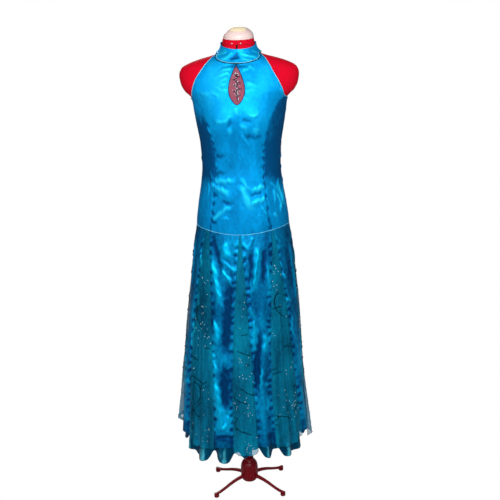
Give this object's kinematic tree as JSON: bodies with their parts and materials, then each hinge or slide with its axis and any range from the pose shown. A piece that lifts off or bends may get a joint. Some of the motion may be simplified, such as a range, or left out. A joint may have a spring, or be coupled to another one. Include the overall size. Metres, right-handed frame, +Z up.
{
  "type": "halter dress on limbless dress form",
  "caption": "Floor-length halter dress with keyhole neck, satin gores, net godets and a longer underskirt, worn on a limbless dress form on a pole stand.",
  "frame": {"origin": "on the floor at the middle of the footprint, on the axis of the dress form's pole", "axes": "+X to the right as seen from in front, +Y towards the back of the dress, +Z up"},
  "size_m": [0.4963, 0.4236, 1.704],
  "materials": {
    "satin": "satin",
    "net": "matte",
    "buttons": "satin",
    "zip": "matte",
    "form_cover": "matte",
    "neck_cap": "satin",
    "cap_pad": "matte",
    "stand_plastic": "satin"
  },
  "bodies": {
    "root": {"collar_band": "satin", "front_centre_panel": "satin", "side_front_left": "satin", "side_front_right": "satin", "back_left": "satin", "back_right": "satin", "gore_1": "satin", "gore_2": "satin", "gore_3": "satin", "gore_4": "satin", "gore_5": "satin", "gore_6": "satin", "gore_7": "satin", "gore_8": "satin", "underskirt_1": "satin", "underskirt_2": "satin", "underskirt_3": "satin", "underskirt_4": "satin", "underskirt_5": "satin", "underskirt_6": "satin", "underskirt_7": "satin", "underskirt_8": "satin", "keyhole_insert": "net", "godet_front": "net", "godet_front_right": "net", "godet_side_right": "net", "godet_back_right": "net", "godet_back": "net", "godet_back_left": "net", "godet_side_left": "net", "godet_front_left": "net", "collar_button_1": "buttons", "collar_button_2": "buttons", "back_zip": "zip", "form_torso": "form_cover", "form_neck_cap": "neck_cap", "form_cap_pad": "cap_pad", "stand_pole": "stand_plastic", "stand_hub": "stand_plastic", "stand_leg_1": "stand_plastic", "stand_leg_2": "stand_plastic", "stand_leg_3": "stand_plastic", "stand_leg_4": "stand_plastic", "stand_foot_1": "stand_plastic", "stand_foot_2": "stand_plastic", "stand_foot_3": "stand_plastic", "stand_foot_4": "stand_plastic"}
  },
  "joints": []
}
